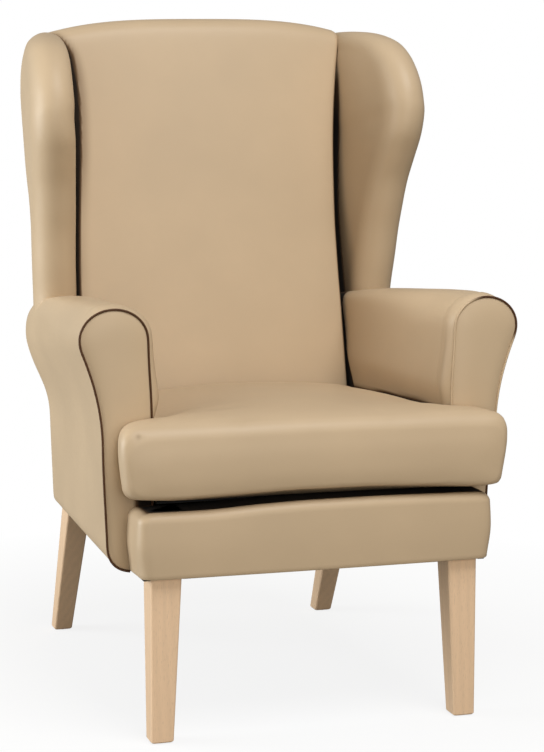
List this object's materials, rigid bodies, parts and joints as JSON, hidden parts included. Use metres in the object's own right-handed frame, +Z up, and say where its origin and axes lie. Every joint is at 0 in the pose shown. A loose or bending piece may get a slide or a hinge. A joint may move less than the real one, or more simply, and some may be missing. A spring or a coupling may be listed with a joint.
{
  "type": "fireside chair",
  "caption": "High-backed fireside chair with wings, rolled arms, a loose seat cushion that lifts out and tapered wooden legs, covered in smooth coated cloth.",
  "frame": {"origin": "the middle of the bounding box at floor level", "axes": "+X to the right seen from the front, +Y from the front of the chair to its back, +Z up"},
  "size_m": [0.694, 0.7752, 1.0895],
  "materials": {
    "upholstery": "satin",
    "piping": "satin",
    "beech_legs": "satin",
    "frame_wood": "matte",
    "foam": "matte",
    "black_webbing": "matte",
    "spring_steel": "satin",
    "plated_steel": "satin",
    "glide_plastic": "matte",
    "zip_tape": "matte"
  },
  "bodies": {
    "chair": {"front_leg_left": "beech_legs", "front_leg_right": "beech_legs", "rear_leg_left": "beech_legs", "rear_leg_right": "beech_legs", "leg_glides": "glide_plastic", "leg_bolts": "spring_steel", "insert_nuts": "plated_steel", "front_seat_rail": "frame_wood", "rear_seat_rail": "frame_wood", "side_seat_rail_left": "frame_wood", "side_seat_rail_right": "frame_wood", "corner_blocks": "frame_wood", "block_screws": "plated_steel", "back_post_left": "frame_wood", "back_post_right": "frame_wood", "back_top_rail": "frame_wood", "back_lower_rail": "frame_wood", "back_webbing": "black_webbing", "seat_springs": "spring_steel", "spring_clips": "plated_steel", "seat_deck": "black_webbing", "dust_cover": "black_webbing", "arm_stump_left": "frame_wood", "arm_stump_right": "frame_wood", "arm_rail_left": "frame_wood", "arm_rail_right": "frame_wood", "wing_board_left": "frame_wood", "wing_board_right": "frame_wood", "arm_foam_left": "foam", "arm_foam_right": "foam", "arm_cover_left": "upholstery", "arm_cover_right": "upholstery", "arm_facing_left": "upholstery", "arm_facing_right": "upholstery", "arm_piping_left": "piping", "arm_piping_right": "piping", "wing_foam_left": "foam", "wing_foam_right": "foam", "wing_cover_left": "upholstery", "wing_cover_right": "upholstery", "back_foam": "foam", "inside_back_cover": "upholstery", "outside_back_panel": "upholstery", "border_foam": "foam", "border_cover": "upholstery"},
    "seat_cushion": {"cushion_foam": "foam", "cushion_cover": "upholstery", "cushion_zip": "zip_tape"},
    "zip_slider": {"zip_slider": "plated_steel"}
  },
  "joints": [
    {"name": "cushion_lift", "type": "slide", "parent": "chair", "child": "seat_cushion", "axis": [0, 0, 1], "range_m": [0, 0.3]},
    {"name": "zip_slide", "type": "slide", "parent": "seat_cushion", "child": "zip_slider", "axis": [1, 0, 0], "range_m": [0, 0.37]}
  ]
}
